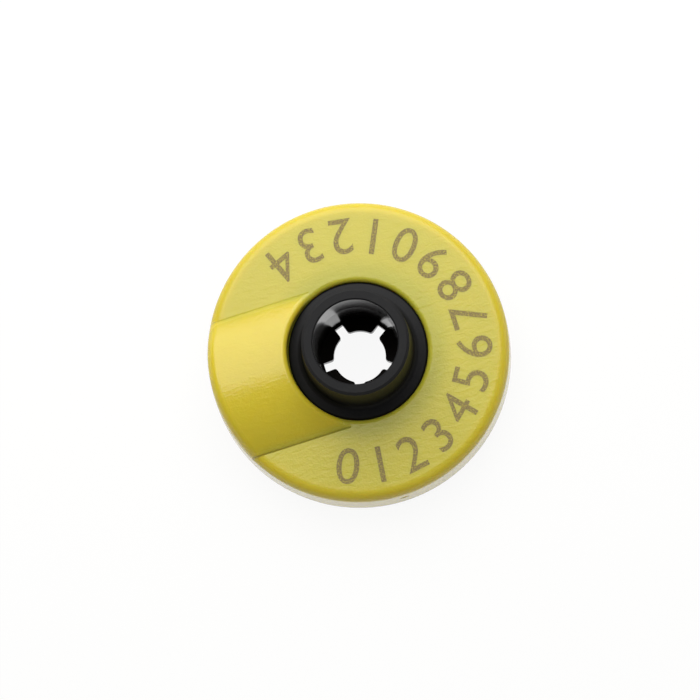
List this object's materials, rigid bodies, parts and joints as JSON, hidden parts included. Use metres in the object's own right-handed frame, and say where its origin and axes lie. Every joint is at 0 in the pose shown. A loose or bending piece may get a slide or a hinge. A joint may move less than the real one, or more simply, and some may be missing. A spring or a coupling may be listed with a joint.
{
  "type": "livestock ear tag",
  "caption": "Round yellow button half of an electronic ear tag, with a hump over the sealed transponder and a black locking socket that grips the stud of the other half.",
  "frame": {"origin": "centre of the flat back, the side that lies against the ear", "axes": "+Z from the back towards the collar, -X towards the hump, gate mark on the -Y side"},
  "size_m": [0.0302, 0.0302, 0.0116],
  "materials": {
    "housing_yellow": "fine-grained thermoplastic polyurethane, half matt",
    "socket_black": "fine-grained hard plastic outside, smoother inside the chamber",
    "coil_copper": "enamelled copper wire",
    "board_green": "solder mask on glass-fibre board",
    "chip_black": "moulded epoxy",
    "capacitor_tan": "fired ceramic",
    "solder_bright": "solder"
  },
  "bodies": {
    "root": {"front_housing": "housing_yellow", "back_plate": "housing_yellow", "locking_socket": "socket_black", "antenna_coil": "coil_copper", "circuit_board": "board_green", "transponder_chip": "chip_black", "charge_capacitor": "capacitor_tan", "tuning_capacitor": "capacitor_tan", "lead_joint_start": "solder_bright", "lead_joint_finish": "solder_bright"}
  },
  "joints": []
}
